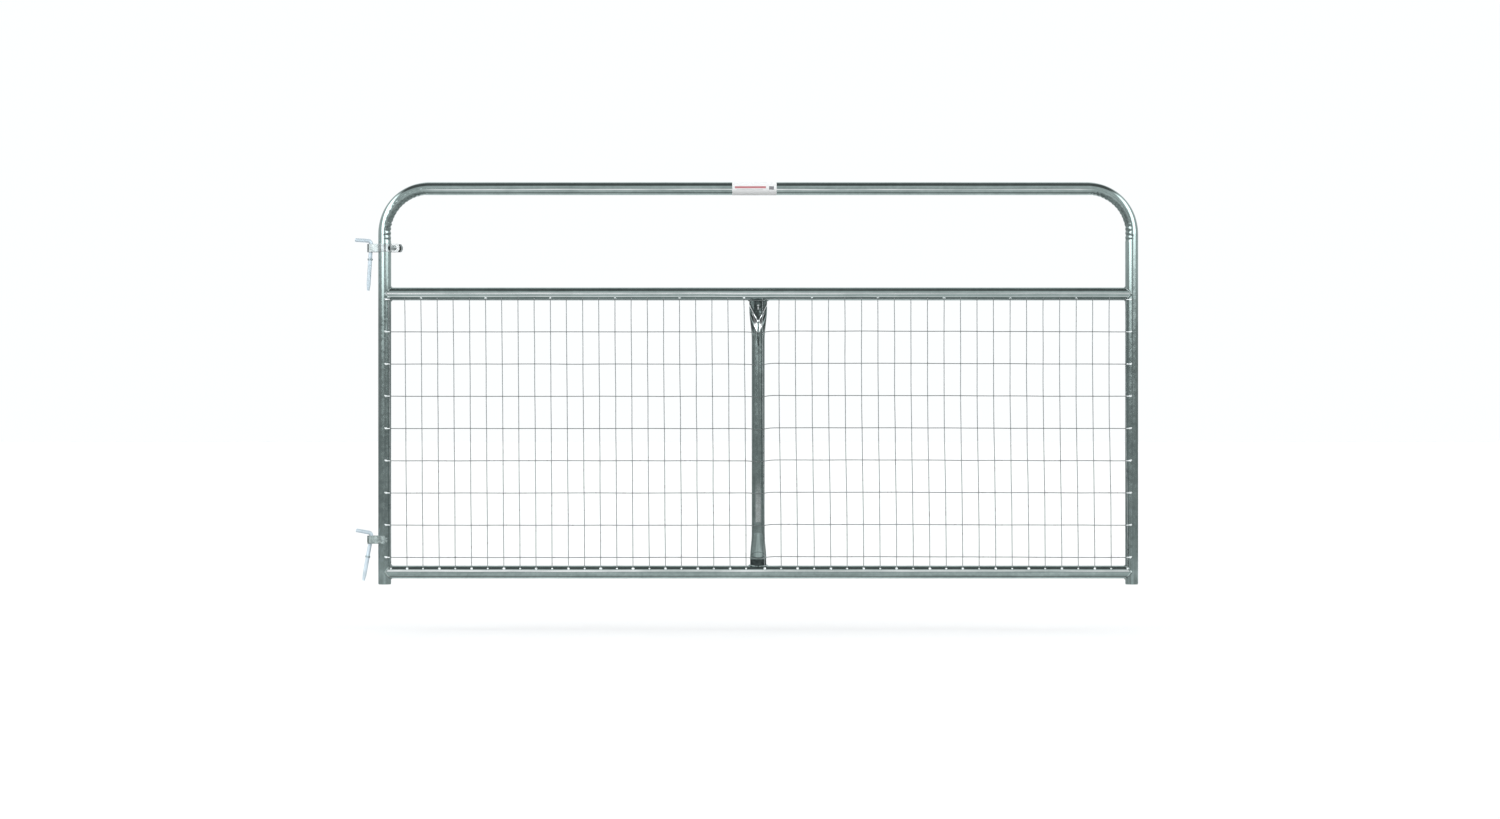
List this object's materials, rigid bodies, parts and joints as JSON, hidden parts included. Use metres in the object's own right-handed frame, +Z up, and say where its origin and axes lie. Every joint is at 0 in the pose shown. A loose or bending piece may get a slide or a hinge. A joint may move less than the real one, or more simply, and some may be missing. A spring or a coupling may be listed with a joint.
{
  "type": "livestock panel gate",
  "caption": "Galvanised tube livestock gate: bent hoop, two rails, centre brace and welded wire mesh below, with two strap hinges holding L-shaped screw hooks.",
  "frame": {"origin": "on the vertical axis through both hinge eyes, level with the bottom of the gate; held by the post at that axis", "axes": "+Z up along the hinge axis, +X along the gate away from the hinges, -Y to the face that carries the wire mesh"},
  "size_m": [2.473, 0.0553, 1.2703],
  "materials": {
    "galvanised_tube": "hot-dip galvanised steel tube, grey-green, semi-matt with soft streaks",
    "galvanised_wire": "galvanised steel wire, light grey",
    "galvanised_weld": "galvanised weld metal, lumpy",
    "galvanised_strap": "galvanised flat bar, dull grey",
    "zinc_plated_hardware": "bright zinc-plated steel",
    "zinc_plated_hook": "bright zinc-plated steel rod, bluish white",
    "zinc_plated_ring": "zinc-plated spring steel",
    "label_vinyl": "plain white vinyl sticker"
  },
  "bodies": {
    "gate": {"frame_hoop": "galvanised_tube", "mid_rail": "galvanised_tube", "bottom_rail": "galvanised_tube", "center_brace": "galvanised_tube", "mesh_vertical_wires": "galvanised_wire", "mesh_horizontal_wires": "galvanised_wire", "mesh_welds_bottom_rail": "galvanised_weld", "mesh_welds_mid_rail": "galvanised_weld", "mesh_welds_hinge_upright": "galvanised_weld", "mesh_welds_latch_upright": "galvanised_weld", "mid_rail_weld_hinge_end": "galvanised_weld", "mid_rail_weld_latch_end": "galvanised_weld", "bottom_rail_weld_hinge_end": "galvanised_weld", "bottom_rail_weld_latch_end": "galvanised_weld", "brace_top_weld": "galvanised_weld", "brace_bottom_weld": "galvanised_weld", "lower_hinge_welds": "galvanised_weld", "label": "label_vinyl", "lower_hinge_strap": "galvanised_strap"},
    "hinge_clamp": {"upper_hinge_strap": "zinc_plated_hardware", "clamp_bolt": "zinc_plated_hardware", "clamp_nut": "zinc_plated_hardware", "clamp_lock_washer": "zinc_plated_hardware"},
    "upper_screw_hook": {"upper_hook": "zinc_plated_hook", "upper_keeper_ring": "zinc_plated_ring"},
    "lower_screw_hook": {"lower_hook": "zinc_plated_hook", "lower_keeper_ring": "zinc_plated_ring"}
  },
  "joints": [
    {"name": "clamp_slide", "type": "slide", "parent": "gate", "child": "hinge_clamp", "axis": [0, 0, 1], "range_m": [-0.1, 0.03]},
    {"name": "upper_hook_swivel", "type": "hinge", "parent": "hinge_clamp", "child": "upper_screw_hook", "pos_m": [0, 0, 1.0617], "axis": [0, 0, 1], "range_deg": [-140, 140]},
    {"name": "lower_hook_swivel", "type": "hinge", "parent": "gate", "child": "lower_screw_hook", "pos_m": [0, 0, 0.141], "axis": [0, 0, 1], "range_deg": [-140, 140]}
  ]
}
